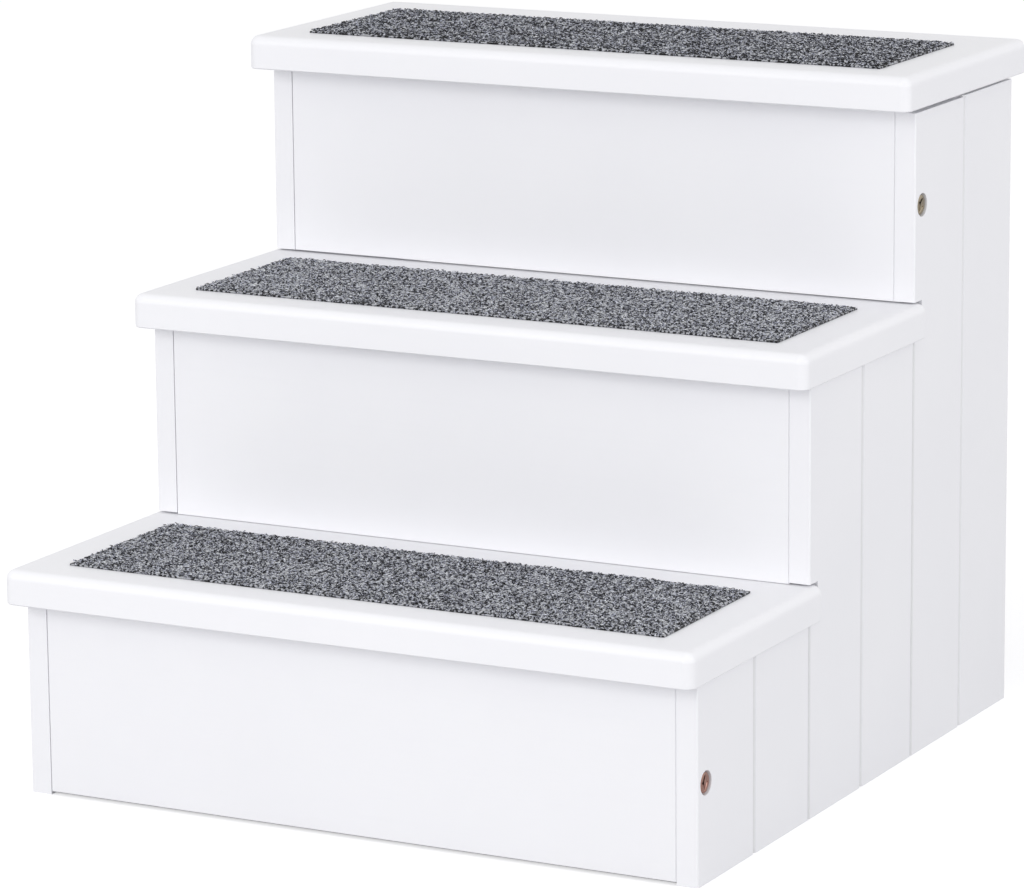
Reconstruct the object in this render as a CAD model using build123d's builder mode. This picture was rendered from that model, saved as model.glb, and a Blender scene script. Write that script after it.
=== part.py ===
"""Pet stairs with three carpeted steps, in white-painted wood. Lengths are in millimetres.

Each side panel is a row of upright tongue-and-groove planks, held together by battens
glued along the inside. The risers stand between the panels on dowels, and the lowest and
the highest are also bolted to them with cross-bored barrel nuts. The treads lie on the
battens, screwed from below, and each runs a little way under the next riser, through
notches in the planks. Two rails and two posts stiffen the open back.

The front faces -Y, the right side faces +X, and the floor is Z = 0. The origin is the
middle of the whole outline, on the floor.
"""

import os
from math import atan2, cos, degrees, pi, radians, tan

from build123d import *

os.makedirs("parts", exist_ok=True)

# Steps and boards
step_count = 3
planks_per_step = 2
stairs_height = 381.0
width_over_panels = 400.0
plank_width = 68.0
plank_thickness = 12.0
board_thickness = 19.0
edge_softening = 0.6
cut_overrun = 1.0
rod_sides = 12

# Treads
front_overhang = 16.0
top_front_overhang = 21.0
top_rear_overhang = 12.0
side_overhang = 4.5
tread_tuck = 9.0
tread_corner_radius = 5.5
tread_roundover = 5.0

# Carpet pads
pad_length = 355.0
pad_depth = 103.0
pad_thickness = 2.0
pad_front_margin = 24.0

# Plank joints
tongue_thickness = 4.0
tongue_length = 6.0
groove_side_clearance = 0.15
groove_end_clearance = 0.5
v_joint_chamfer = 1.8
open_joint_gap = 0.5

# Gaps that show between the pieces
floor_gap = 2.0
seated_riser_gap = 0.3
top_riser_gap = 1.1
riser_end_gap = 0.15
notch_clearance = 1.0
plank_top_gap = 1.0
top_rear_plank_gap = 2.6
top_front_plank_gap = 3.3

# Battens and the frame at the back
batten_size = 18.0
rail_height = 45.0

# Dowels
dowel_diameter = 8.0
dowel_length = 30.0
dowel_depth_in_plank = 8.0
dowel_fit = 0.1
dowel_end_clearance = 0.5
dowel_height_shares = (0.18, 0.82)

# Bolts and barrel nuts
bolt_diameter = 6.0
bolt_length = 50.0
bolt_head_diameter = 11.0
bolt_head_height = 2.2
bolt_head_chamfer = 0.7
bolt_height_in_step = 53.5
bolt_clearance = 0.25
counterbore_diameter = 13.0
counterbore_depth = 3.6
recess_width = 1.3
recess_length = 6.0
recess_depth = 1.6
nut_diameter = 10.0
nut_length = 12.0
nut_setback = 32.0
nut_clearance = 0.1

# Wood screws
screw_diameter = 4.0
screw_length = 30.0
screw_head_diameter = 8.0
screw_head_angle = 90.0
screw_tip_length = 5.0
screw_tip_diameter = 0.8
screw_sides = 8
screw_fit = 0.1
tread_screw_shares = (0.2, 0.8)
rail_screw_shares = (0.25, 0.75)

# Sizes of the whole frame
step_rise = stairs_height / step_count
step_run = planks_per_step * plank_width
plank_count = step_count * planks_per_step
top_step = step_count - 1
outer_face = width_over_panels / 2
inner_face = outer_face - plank_thickness
tread_width = width_over_panels + 2 * side_overhang
overall_depth = front_overhang + plank_count * plank_width + top_rear_overhang
panel_front = front_overhang - overall_depth / 2
panel_rear = panel_front + plank_count * plank_width
post_front = panel_rear - board_thickness - batten_size
sides = {"left": -1, "right": 1}


def step_front(step):
    """Front plane of a step, counted from 0 at the lowest."""
    return panel_front + step * step_run


def tread_top(step):
    return (step + 1) * step_rise


def tread_underside(step):
    return tread_top(step) - board_thickness


def step_base(step):
    """What a step stands on: the floor, or the tread of the step in front."""
    return step * step_rise


def plank_top(index):
    """Top of a plank, counted from 0 at the front. The gap shows most under the top tread."""
    step = index // planks_per_step
    if step < top_step:
        gap = plank_top_gap
    elif index < plank_count - 1:
        gap = top_front_plank_gap
    else:
        gap = top_rear_plank_gap
    return tread_underside(step) - gap


def riser_bottom(step):
    if step == 0:
        return floor_gap
    gap = top_riser_gap if step == top_step else seated_riser_gap
    return step_base(step) + gap


def riser_height(step):
    return tread_underside(step) - riser_bottom(step)


def is_bolted(step):
    """Only the lowest and the highest riser have bolts."""
    return step in (0, top_step)


def riser_middle(step):
    return step_front(step) + board_thickness / 2


def dowel_heights(step):
    """Two dowels at each end of a riser, or only the upper one where it is bolted as well."""
    shares = dowel_height_shares[-1:] if is_bolted(step) else dowel_height_shares
    return [riser_bottom(step) + share * riser_height(step) for share in shares]


def bolt_height(step):
    return step_base(step) + bolt_height_in_step


def tread_screw_places(step):
    """Y places of the screws through one batten, between the riser and what comes next."""
    start = step_front(step) + board_thickness
    end = min(step_front(step + 1), post_front)
    return [start + share * (end - start) for share in tread_screw_shares]


def rail_screw_heights(bottom):
    return [bottom + share * rail_height for share in rail_screw_shares]


def facing(x, y, z, direction):
    """A plane at a point, with its normal along the given direction."""
    return Plane(origin=(x, y, z), z_dir=direction)


def rod(seat, radius, length, mode=Mode.ADD):
    """A many-sided rod from the seat inward, for a dowel, bolt or nut, or the bore for one."""
    with BuildSketch(seat) as section:
        RegularPolygon(radius, rod_sides)
    extrude(section.sketch, amount=-length, mode=mode)


def drive_screw(seat, margin, mode):
    """A countersunk screw with its head flush in the seat, or the hole that it leaves."""
    flat_share = cos(pi / screw_sides)
    head_radius = screw_head_diameter / 2 + margin
    shank_radius = screw_diameter / 2 + margin
    slope = tan(radians(screw_head_angle / 2))
    head_depth = (head_radius - shank_radius) * flat_share / slope
    tip_radius = screw_tip_diameter / 2 + margin
    tip_taper = degrees(atan2((shank_radius - tip_radius) * flat_share, screw_tip_length))
    shank_end = screw_length + margin - screw_tip_length
    with BuildSketch(seat) as head:
        RegularPolygon(head_radius, screw_sides)
    with BuildSketch(seat.offset(-head_depth)) as neck:
        RegularPolygon(shank_radius, screw_sides)
    with BuildSketch(seat.offset(-shank_end)) as shoulder:
        RegularPolygon(shank_radius, screw_sides)
    extrude(head.sketch, amount=-head_depth, taper=screw_head_angle / 2, mode=mode)
    extrude(neck.sketch, amount=head_depth - shank_end, mode=mode)
    extrude(shoulder.sketch, amount=-screw_tip_length, taper=tip_taper, mode=mode)


def write(piece, name):
    piece.part.label = name
    export_step(piece.part, f"parts/{name}.step")


# Side planks, numbered from the front
tongue_middle = inner_face + plank_thickness / 2
groove_depth = tongue_length + groove_end_clearance


def make_plank(side, index):
    """One upright plank, with its tongue on the front edge and its groove in the rear edge."""
    starts_step = index % planks_per_step == 0
    is_last = index == plank_count - 1
    joint_gap = open_joint_gap if starts_step and index < plank_count - planks_per_step else 0
    front = panel_front + index * plank_width
    rear = front + plank_width - joint_gap
    front_cut = edge_softening if starts_step else v_joint_chamfer
    rear_cut = edge_softening if is_last else v_joint_chamfer
    with BuildPart() as plank:
        with BuildSketch(Plane.XY):
            with BuildLine():
                Polyline(
                    (side * inner_face, front),
                    (side * (outer_face - front_cut), front),
                    (side * outer_face, front + front_cut),
                    (side * outer_face, rear - rear_cut),
                    (side * (outer_face - rear_cut), rear),
                    (side * inner_face, rear),
                    close=True,
                )
            make_face()
        extrude(amount=plank_top(index))
        if index > 0:
            with BuildSketch(Plane.XY):
                with Locations((side * tongue_middle, front - tongue_length / 2)):
                    Rectangle(tongue_thickness, tongue_length)
            extrude(amount=plank_top(index - 1) if starts_step else plank_top(index))
        if not is_last:
            groove_width = tongue_thickness + 2 * groove_side_clearance
            with BuildSketch(Plane.XY):
                with Locations((side * tongue_middle, rear - groove_depth / 2 + cut_overrun / 2)):
                    Rectangle(groove_width, groove_depth + cut_overrun)
            extrude(amount=plank_top(index), mode=Mode.SUBTRACT)
        if starts_step:
            cut_riser_holes(side, index // planks_per_step)
        if starts_step and index > 0:
            cut_tread_notch(side, front, index)
    return plank


def cut_tread_notch(side, front, index):
    """The opening that lets the tread in front run under this step."""
    notch_depth = tread_tuck + notch_clearance
    notch_bottom = plank_top(index - 1)
    notch_top = step_base(index // planks_per_step) + notch_clearance
    with BuildSketch(Plane.XY.offset(notch_bottom)) as notch:
        with Locations((side * tongue_middle, front + notch_depth / 2 - cut_overrun / 2)):
            Rectangle(plank_thickness + 2 * cut_overrun, notch_depth + cut_overrun)
    extrude(notch.sketch, amount=notch_top - notch_bottom, mode=Mode.SUBTRACT)


def cut_riser_holes(side, step):
    """Blind dowel holes from inside, and the counterbored bolt hole from outside."""
    middle = riser_middle(step)
    hole_depth = dowel_depth_in_plank + dowel_end_clearance
    for height in dowel_heights(step):
        seat = facing(side * inner_face, middle, height, (-side, 0, 0))
        rod(seat, dowel_diameter / 2 + dowel_fit, hole_depth, Mode.SUBTRACT)
    if is_bolted(step):
        seat = facing(side * outer_face, middle, bolt_height(step), (side, 0, 0))
        with Locations(seat):
            Hole(counterbore_diameter / 2, counterbore_depth)
        rod(seat, bolt_diameter / 2 + bolt_clearance, plank_thickness + cut_overrun, Mode.SUBTRACT)


for side_name, side in sides.items():
    for index in range(plank_count):
        write(make_plank(side, index), f"{side_name}_side_plank_{index + 1}")

# Battens, glued inside the planks, and the posts at the back
batten_middle = inner_face - batten_size / 2


def make_batten(side, start, bottom, screw_places):
    """A square batten from a riser back to the post, with screw holes up into the tread."""
    with BuildPart() as batten:
        with BuildSketch(Plane.XY.offset(bottom)):
            with Locations((side * batten_middle, (start + post_front) / 2)):
                Rectangle(batten_size, post_front - start)
        extrude(amount=batten_size)
        for place in screw_places:
            seat = facing(side * batten_middle, place, bottom, (0, 0, -1))
            drive_screw(seat, screw_fit, Mode.SUBTRACT)
    return batten


def make_post(side):
    """A square post in the rear corner, behind which the rails are screwed on."""
    with BuildPart() as post:
        with BuildSketch(Plane.XY.offset(floor_gap)):
            with Locations((side * batten_middle, post_front + batten_size / 2)):
                Rectangle(batten_size, batten_size)
        extrude(amount=tread_underside(top_step) - floor_gap)
        for height in rail_screw_heights(lower_rail_bottom) + rail_screw_heights(upper_rail_bottom):
            seat = facing(side * batten_middle, panel_rear, height, (0, 1, 0))
            drive_screw(seat, screw_fit, Mode.SUBTRACT)
    return post


lower_rail_bottom = floor_gap
upper_rail_bottom = tread_underside(top_step) - rail_height

for side_name, side in sides.items():
    bottom_batten = make_batten(side, step_front(0) + board_thickness, floor_gap, [])
    write(bottom_batten, f"{side_name}_bottom_batten")
    for step in range(step_count):
        start = step_front(step) + board_thickness
        bottom = tread_underside(step) - batten_size
        batten = make_batten(side, start, bottom, tread_screw_places(step))
        write(batten, f"{side_name}_tread_batten_{step + 1}")
    write(make_post(side), f"{side_name}_rear_post")

# Rails across the back
rail_length = 2 * (inner_face - riser_end_gap)


def make_rail(bottom):
    with BuildPart() as rail:
        with BuildSketch(Plane.XY.offset(bottom)):
            with Locations((0, panel_rear - board_thickness / 2)):
                Rectangle(rail_length, board_thickness)
        extrude(amount=rail_height)
        chamfer(rail.faces().sort_by(Axis.Y)[-1].edges(), edge_softening)
        for side in sides.values():
            for height in rail_screw_heights(bottom):
                seat = facing(side * batten_middle, panel_rear, height, (0, 1, 0))
                drive_screw(seat, screw_fit, Mode.SUBTRACT)
    return rail


write(make_rail(lower_rail_bottom), "lower_back_rail")
write(make_rail(upper_rail_bottom), "upper_back_rail")

# Risers
bolt_reach = bolt_length - (plank_thickness - counterbore_depth)
dowel_reach = dowel_length - dowel_depth_in_plank


def make_riser(step):
    """A board on edge, bored at its ends for dowels and, where it is bolted, for bolt and nut."""
    bottom = riser_bottom(step)
    middle = riser_middle(step)
    half_length = inner_face - riser_end_gap
    with BuildPart() as riser:
        with BuildSketch(Plane.XY.offset(bottom)):
            with Locations((0, middle)):
                Rectangle(2 * half_length, board_thickness)
        extrude(amount=riser_height(step))
        chamfer(riser.faces().sort_by(Axis.Y)[0].edges().filter_by(Axis.Z), edge_softening)
        for side in sides.values():
            for height in dowel_heights(step):
                seat = facing(side * half_length, middle, height, (side, 0, 0))
                hole_depth = dowel_reach + dowel_end_clearance
                rod(seat, dowel_diameter / 2 + dowel_fit, hole_depth, Mode.SUBTRACT)
            if is_bolted(step):
                seat = facing(side * half_length, middle, bolt_height(step), (side, 0, 0))
                rod(seat, bolt_diameter / 2 + bolt_clearance, bolt_reach + cut_overrun, Mode.SUBTRACT)
                nut_place = side * (inner_face - nut_setback)
                back = step_front(step) + board_thickness
                seat = facing(nut_place, back, bolt_height(step), (0, 1, 0))
                hole_depth = (board_thickness + nut_length) / 2 + nut_clearance
                rod(seat, nut_diameter / 2 + nut_clearance, hole_depth, Mode.SUBTRACT)
    return riser


for step in range(step_count):
    write(make_riser(step), f"riser_{step + 1}")


# Treads
def tread_front(step):
    overhang = top_front_overhang if step == top_step else front_overhang
    return step_front(step) - overhang


def tread_rear(step):
    reach = top_rear_overhang if step == top_step else tread_tuck
    return step_front(step + 1) + reach


def make_tread(step):
    """A board with rounded corners and a rounded-over top edge all round."""
    front = tread_front(step)
    rear = tread_rear(step)
    with BuildPart() as tread:
        with BuildSketch(Plane.XY.offset(tread_underside(step))):
            with Locations((0, (front + rear) / 2)):
                RectangleRounded(tread_width, rear - front, tread_corner_radius)
        extrude(amount=board_thickness)
        fillet(tread.faces().sort_by(Axis.Z)[-1].edges(), tread_roundover)
        chamfer(tread.faces().sort_by(Axis.Z)[0].edges(), edge_softening)
        for side in sides.values():
            for place in tread_screw_places(step):
                seat_height = tread_underside(step) - batten_size
                seat = facing(side * batten_middle, place, seat_height, (0, 0, -1))
                drive_screw(seat, screw_fit, Mode.SUBTRACT)
    return tread


for step in range(step_count):
    write(make_tread(step), f"tread_{step + 1}")


# Carpet pads
def make_pad(step):
    with BuildPart() as pad:
        with BuildSketch(Plane.XY.offset(tread_top(step))):
            with Locations((0, tread_front(step) + pad_front_margin + pad_depth / 2)):
                Rectangle(pad_length, pad_depth)
        extrude(amount=pad_thickness)
    return pad


for step in range(step_count):
    write(make_pad(step), f"carpet_pad_{step + 1}")

# Dowels at the riser ends
with BuildPart() as dowels:
    for side in sides.values():
        for step in range(step_count):
            for height in dowel_heights(step):
                outer_end = side * (inner_face + dowel_depth_in_plank)
                seat = facing(outer_end, riser_middle(step), height, (side, 0, 0))
                rod(seat, dowel_diameter / 2, dowel_length)
write(dowels, "riser_dowels")

# Bolts through the side planks into the risers
bolt_head_seat = outer_face - counterbore_depth
with BuildPart() as bolts:
    for side in sides.values():
        for step in filter(is_bolted, range(step_count)):
            seat = facing(side * bolt_head_seat, riser_middle(step), bolt_height(step), (side, 0, 0))
            with BuildSketch(seat):
                Circle(bolt_head_diameter / 2)
            extrude(amount=bolt_head_height)
            rims = bolts.edges(Select.LAST).filter_by(GeomType.CIRCLE).sort_by(Axis.X)
            chamfer(rims[-1] if side > 0 else rims[0], bolt_head_chamfer)
            rod(seat, bolt_diameter / 2, bolt_length)
            with BuildSketch(seat.offset(bolt_head_height)):
                Rectangle(recess_length, recess_width)
                Rectangle(recess_width, recess_length)
            extrude(amount=-recess_depth, mode=Mode.SUBTRACT)
write(bolts, "riser_bolts")

# Barrel nuts, each in its cross hole behind a bolted riser
with BuildPart() as nuts:
    for side in sides.values():
        for step in filter(is_bolted, range(step_count)):
            height = bolt_height(step)
            place = side * (inner_face - nut_setback)
            back = riser_middle(step) + nut_length / 2
            rod(facing(place, back, height, (0, 1, 0)), nut_diameter / 2, nut_length)
            seat = facing(place + side * nut_diameter / 2, riser_middle(step), height, (side, 0, 0))
            rod(seat, bolt_diameter / 2 + nut_clearance, nut_diameter, Mode.SUBTRACT)
write(nuts, "barrel_nuts")

# Screws, up through the battens into the treads and through the rails into the posts
with BuildPart() as tread_screws:
    for side in sides.values():
        for step in range(step_count):
            for place in tread_screw_places(step):
                bottom = tread_underside(step) - batten_size
                seat = facing(side * batten_middle, place, bottom, (0, 0, -1))
                drive_screw(seat, 0, Mode.ADD)
write(tread_screws, "tread_screws")

with BuildPart() as rail_screws:
    for side in sides.values():
        for height in rail_screw_heights(lower_rail_bottom) + rail_screw_heights(upper_rail_bottom):
            seat = facing(side * batten_middle, panel_rear, height, (0, 1, 0))
            drive_screw(seat, 0, Mode.ADD)
write(rail_screws, "back_rail_screws")
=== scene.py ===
import math

import bmesh
import bpy
from bpy.props import (
    FloatProperty,
    FloatVectorProperty,
    IntProperty,
    PointerProperty,
    StringProperty,
)
from mathutils import Matrix, Vector


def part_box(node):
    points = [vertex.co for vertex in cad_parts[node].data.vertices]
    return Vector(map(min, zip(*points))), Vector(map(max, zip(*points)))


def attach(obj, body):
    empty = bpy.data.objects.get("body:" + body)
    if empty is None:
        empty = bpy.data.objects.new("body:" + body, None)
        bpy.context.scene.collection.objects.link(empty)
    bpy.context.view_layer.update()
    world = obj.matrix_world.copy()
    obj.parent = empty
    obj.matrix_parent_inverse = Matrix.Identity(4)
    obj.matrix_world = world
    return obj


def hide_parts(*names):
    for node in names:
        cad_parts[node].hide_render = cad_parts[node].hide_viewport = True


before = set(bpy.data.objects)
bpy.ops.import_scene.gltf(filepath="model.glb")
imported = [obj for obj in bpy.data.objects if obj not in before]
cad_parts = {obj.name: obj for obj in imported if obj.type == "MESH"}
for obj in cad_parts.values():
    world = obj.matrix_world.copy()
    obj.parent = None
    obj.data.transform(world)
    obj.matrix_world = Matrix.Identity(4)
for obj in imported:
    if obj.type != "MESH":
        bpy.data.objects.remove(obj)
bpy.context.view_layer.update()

bl_info = {
    "name": "Pet stairs",
    "version": (1, 0, 0),
    "blender": (4, 5, 0),
    "location": "3D View > Sidebar > Pet stairs",
    "description": "Dresses a set of white-painted pet stairs with carpeted steps",
    "category": "Object",
}

MM = 0.001
STEPS = (1, 2, 3)
PLANKS = 6


# Nodes of any kind


def linear(colour):
    """Turns an sRGB hex colour into linear RGBA."""
    channels = [int(colour[i : i + 2], 16) / 255 for i in (1, 3, 5)]
    return (*[c / 12.92 if c <= 0.04045 else ((c + 0.055) / 1.055) ** 2.4 for c in channels], 1.0)


def plug(tree, node, inputs):
    """Fills a node's inputs, each from a socket to link from, or a plain value."""
    for key, value in inputs.items():
        if isinstance(value, bpy.types.NodeSocket):
            tree.links.new(value, node.inputs[key])
        else:
            node.inputs[key].default_value = value


def add_node(tree, kind, inputs=None, **settings):
    """Adds a node with its settings and its inputs."""
    node = tree.nodes.new(kind)
    for name, value in settings.items():
        setattr(node, name, value)
    plug(tree, node, inputs or {})
    return node


def reckon(tree, operation, first, second=0.0, clamp=False):
    """One step of arithmetic between sockets or plain values."""
    node = add_node(
        tree, "ShaderNodeMath", {0: first, 1: second}, operation=operation, use_clamp=clamp
    )
    return node.outputs[0]


def times(tree, first, second):
    return reckon(tree, "MULTIPLY", first, second)


def minus(tree, first, second):
    return reckon(tree, "SUBTRACT", first, second)


def rescale(tree, value, low, high, from_low=0.0, from_high=1.0):
    """Turns one range of a value into another, and holds the value inside it."""
    ends = {"From Min": from_low, "From Max": from_high, "To Min": low, "To Max": high}
    return add_node(tree, "ShaderNodeMapRange", {"Value": value, **ends}).outputs["Result"]


def parts_of(tree, vector):
    """The X, Y and Z of a vector."""
    return add_node(tree, "ShaderNodeSeparateXYZ", {0: vector}).outputs


def vector_of(tree, x=0.0, y=0.0, z=0.0):
    """A vector from its X, Y and Z."""
    return add_node(tree, "ShaderNodeCombineXYZ", {0: x, 1: y, 2: z}).outputs[0]


# Nodes of materials


def new_material(name):
    """An empty node material, its tree, and the place on the object in metres."""
    material = bpy.data.materials.new(name)
    material.use_nodes = True
    tree = material.node_tree
    tree.nodes.clear()
    return material, tree, add_node(tree, "ShaderNodeTexCoord").outputs["Object"]


def noise(tree, place, size, detail, roughness=0.5):
    """Smooth noise with lumps of one size."""
    inputs = {"Vector": place, "Scale": 1 / size, "Detail": detail, "Roughness": roughness}
    return add_node(tree, "ShaderNodeTexNoise", inputs).outputs["Fac"]


def long_noise(tree, place, sizes, detail, roughness):
    """Smooth noise whose lumps have a size of their own along each axis."""
    inputs = {"Vector": place, "Scale": [1 / size for size in sizes]}
    stretched = add_node(tree, "ShaderNodeMapping", inputs).outputs["Vector"]
    return noise(tree, stretched, 1.0, detail, roughness)


def attribute(tree, name):
    return add_node(tree, "ShaderNodeAttribute", attribute_name=name).outputs["Fac"]


def blend(tree, factor, first, second):
    """A colour between two."""
    inputs = {"Factor": factor, 6: first, 7: second}
    return add_node(tree, "ShaderNodeMix", inputs, data_type="RGBA").outputs[2]


def colour_ramp(tree, factor, stops):
    """A colour from a ramp with (position, hex colour) stops."""
    node = add_node(tree, "ShaderNodeValToRGB", {"Fac": factor})
    elements = node.color_ramp.elements
    for element, (position, colour) in zip(elements, (stops[0], stops[-1])):
        element.position = position
        element.color = linear(colour)
    for position, colour in stops[1:-1]:
        elements.new(position).color = linear(colour)
    return node.outputs["Color"]


def bump(tree, height, strength, distance, under=None):
    """A normal from a height, over the normal under it if there is one."""
    inputs = {"Height": height, "Strength": strength, "Distance": distance}
    if under is not None:
        inputs["Normal"] = under
    return add_node(tree, "ShaderNodeBump", inputs).outputs["Normal"]


def surface(tree, inputs):
    """Ends a material with a Principled surface."""
    shader = add_node(tree, "ShaderNodeBsdfPrincipled", inputs)
    add_node(tree, "ShaderNodeOutputMaterial", {"Surface": shader.outputs["BSDF"]})


def dress(objects, material):
    """Gives objects one material."""
    for piece in objects:
        piece.data.materials.clear()
        piece.data.materials.append(material)


# Materials


def joint_shade(tree, place):
    """1 in the V joints between the planks, fading to 0 beside them.

    A joint ends where the lower of its two planks ends, so the front edges of the
    planks above a step stay clear of it.
    """
    # Painted shade: where this is 1, the joint takes the greyer shade colour.
    paint = bpy.context.scene.stairs_paint
    first_low, first_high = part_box("right_side_plank_1")
    width = (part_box(f"right_side_plank_{PLANKS}")[1].y - first_low.y) / PLANKS
    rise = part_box("right_side_plank_3")[1].z - first_high.z
    place_y, place_z = parts_of(tree, place)[1:]
    planks = reckon(tree, "DIVIDE", minus(tree, place_y, first_low.y), width)
    joint = reckon(tree, "ROUND", planks)
    off = reckon(tree, "ABSOLUTE", minus(tree, planks, joint))
    steps_below = reckon(tree, "FLOOR", reckon(tree, "DIVIDE", minus(tree, joint, 1), 2))
    top = reckon(tree, "ADD", times(tree, steps_below, rise), first_high.z)
    under_top = reckon(tree, "LESS_THAN", place_z, top)
    from_middle = reckon(tree, "ABSOLUTE", minus(tree, planks, PLANKS / 2))
    is_joint = reckon(tree, "LESS_THAN", from_middle, (PLANKS - 1) / 2)
    fade = rescale(
        tree, times(tree, off, width), 1.0, 0.0, paint.joint_width / 4, paint.joint_width / 2
    )
    return times(tree, fade, times(tree, is_joint, under_top))


def white_paint(name, grain_axis, has_joints=False):
    """White satin acrylic, sprayed on sanded pine.

    The eye sees an almost even, cool white with a soft gloss, the finest ripple of the
    spray, long lines of the grain that only show where light grazes the board, and on
    the side panels a greyer line of painted shade down in each joint.
    """
    paint = bpy.context.scene.stairs_paint
    material, tree, place = new_material(name)
    sizes = [paint.grain_length if axis == grain_axis else paint.grain_width for axis in "XYZ"]
    grain = long_noise(tree, place, sizes, 4.0, 0.6)
    ripple = noise(tree, place, paint.ripple_size, 2.0)
    cloud = noise(tree, place, paint.cloud_size, 3.0)
    shade = linear(paint.shade_colour)
    tone = blend(tree, cloud, shade, linear(paint.colour))
    grain_lines = rescale(tree, grain, 0.0, 0.3, 0.55, 0.8)
    colour = blend(tree, grain_lines, tone, shade)
    # Painted shade: a greyer line down in the V joints of the side panels.
    if has_joints:
        colour = blend(tree, joint_shade(tree, place), colour, linear(paint.joint_colour))
    grain_relief = bump(tree, grain, 0.25, paint.grain_depth)
    surface(
        tree,
        {
            "Base Color": colour,
            "Roughness": rescale(tree, ripple, paint.roughness - 0.04, paint.roughness + 0.06),
            "IOR": 1.47,
            "Normal": bump(tree, ripple, 0.3, paint.ripple_depth, grain_relief),
        },
    )
    return material


def heather_carpet():
    """Needle-punched polyester carpet, spun from charcoal, mid grey and pale fibres.

    The eye sees a dry, matt mottle of short curls, dark in the depths between them and
    almost white on single fibres, with a slight blue cast. The dark depths, the dark felt
    sides and a darker band along the edges are painted shade, and each carpet is made a
    little lighter or darker by painted light.
    """
    carpet = bpy.context.scene.stairs_carpet
    material, tree, place = new_material("needle_punched_polyester")
    speckle = noise(tree, place, carpet.speckle_size, 1.0)
    own_shade = attribute(tree, "fibre_shade")
    is_felt = reckon(tree, "LESS_THAN", own_shade, 0.0)
    felt_shade = rescale(tree, speckle, 0.0, 1.0, 0.38, 0.66)
    shade = add_node(tree, "ShaderNodeMix", {0: is_felt, 2: own_shade, 3: felt_shade}).outputs[0]
    clump = noise(tree, place, carpet.clump_size, 2.0)
    of_clump = rescale(tree, clump, -carpet.clump_contrast, carpet.clump_contrast, 0.3, 0.7)
    of_tuft = rescale(tree, speckle, -carpet.tuft_contrast, carpet.tuft_contrast, 0.35, 0.65)
    shade = reckon(tree, "ADD", shade, reckon(tree, "ADD", of_clump, of_tuft), clamp=True)
    stops = (
        (0.0, carpet.dark_colour),
        (0.34, carpet.deep_colour),
        (0.6, carpet.middle_colour),
        (0.8, carpet.light_colour),
    )
    colour = colour_ramp(tree, shade, stops)
    # Painted shade: fibres darken toward their roots, the felt's top a little and its sides fully,
    # toward the darkest colour.
    lit = rescale(tree, attribute(tree, "painted_light_factor"), carpet.root_light, 1.0)
    fuzz = noise(tree, place, carpet.fibre_thickness, 2.0)
    surface(
        tree,
        {
            "Base Color": blend(tree, lit, linear(carpet.dark_colour), colour),
            "Roughness": 0.95,
            "Specular IOR Level": 0.15,
            "Sheen Weight": 0.15,
            "Sheen Roughness": 0.6,
            "Normal": bump(tree, fuzz, 0.6, carpet.fibre_thickness / 2),
        },
    )
    return material


def plated_steel(name, colours, roughness, patch_size):
    """Electroplated steel.

    The eye sees a thin bright skin with slow patches of another tone in it, and each
    fastener a little redder or greener than the next.
    """
    material, tree, place = new_material(name)
    patches = noise(tree, place, patch_size, 1.5)
    fleck = rescale(tree, patches, -0.35, 0.35, 0.3, 0.7)
    tone = reckon(tree, "ADD", attribute(tree, "part_tone"), fleck)
    surface(
        tree,
        {
            "Base Color": colour_ramp(tree, tone, tuple(zip((0.15, 0.5, 0.85), colours))),
            "Metallic": 1.0,
            "Roughness": rescale(tree, patches, roughness - 0.08, roughness + 0.12),
            "Normal": bump(tree, patches, 0.5, 0.1 * MM),
        },
    )
    return material


def bare_beech(colours):
    """Turned beech, left bare: pinkish tan with short dark flecks along the grain."""
    material, tree, place = new_material("bare_turned_beech")
    flecks = long_noise(tree, place, (2.5 * MM, 0.4 * MM, 0.4 * MM), 3.0, 0.65)
    surface(
        tree,
        {
            "Base Color": colour_ramp(tree, flecks, tuple(zip((0.3, 0.6), colours))),
            "Roughness": 0.65,
            "Normal": bump(tree, flecks, 0.4, 0.05 * MM),
        },
    )
    return material


# Nodes of meshes


def new_geometry_tree(name, sizes):
    """A tree with named inputs for a mesh, sizes, a seed and a material, and these inputs."""
    tree = bpy.data.node_groups.new(name, "GeometryNodeTree")
    kinds = {"Geometry": "Geometry", **{size: "Float" for size in sizes}}
    kinds.update({"Seed": "Int", "Material": "Material"})
    for label, kind in kinds.items():
        tree.interface.new_socket(label, in_out="INPUT", socket_type="NodeSocket" + kind)
    tree.interface.new_socket("Geometry", in_out="OUTPUT", socket_type="NodeSocketGeometry")
    return tree, add_node(tree, "NodeGroupInput").outputs


def finish_tree(tree, shape, material):
    """Ends a tree with a shape in its material."""
    coated = add_node(tree, "GeometryNodeSetMaterial", {"Geometry": shape, "Material": material})
    add_node(tree, "NodeGroupOutput", {0: coated.outputs[0]})


def bake_tree(name, source, tree, values):
    """Runs a geometry tree on a source mesh, and returns its result as a plain piece."""
    carrier = bpy.data.objects.new(name + "_source", source)
    bpy.context.scene.collection.objects.link(carrier)
    modifier = carrier.modifiers.new(tree.name, "NODES")
    modifier.node_group = tree
    for item in tree.interface.items_tree:
        if item.item_type == "SOCKET" and item.in_out == "INPUT" and item.name in values:
            modifier[item.identifier] = values[item.name]
    bpy.context.view_layer.update()
    evaluated = carrier.evaluated_get(bpy.context.evaluated_depsgraph_get())
    mesh = bpy.data.meshes.new_from_object(evaluated)
    mesh.name = name
    bpy.data.objects.remove(carrier)
    piece = bpy.data.objects.new(name, mesh)
    bpy.context.scene.collection.objects.link(piece)
    return piece


def store(tree, shape, name, value, domain):
    """Keeps a value on a shape under a name."""
    inputs = {"Geometry": shape, "Name": name, "Value": value}
    return add_node(tree, "GeometryNodeStoreNamedAttribute", inputs, domain=domain).outputs[0]


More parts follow.
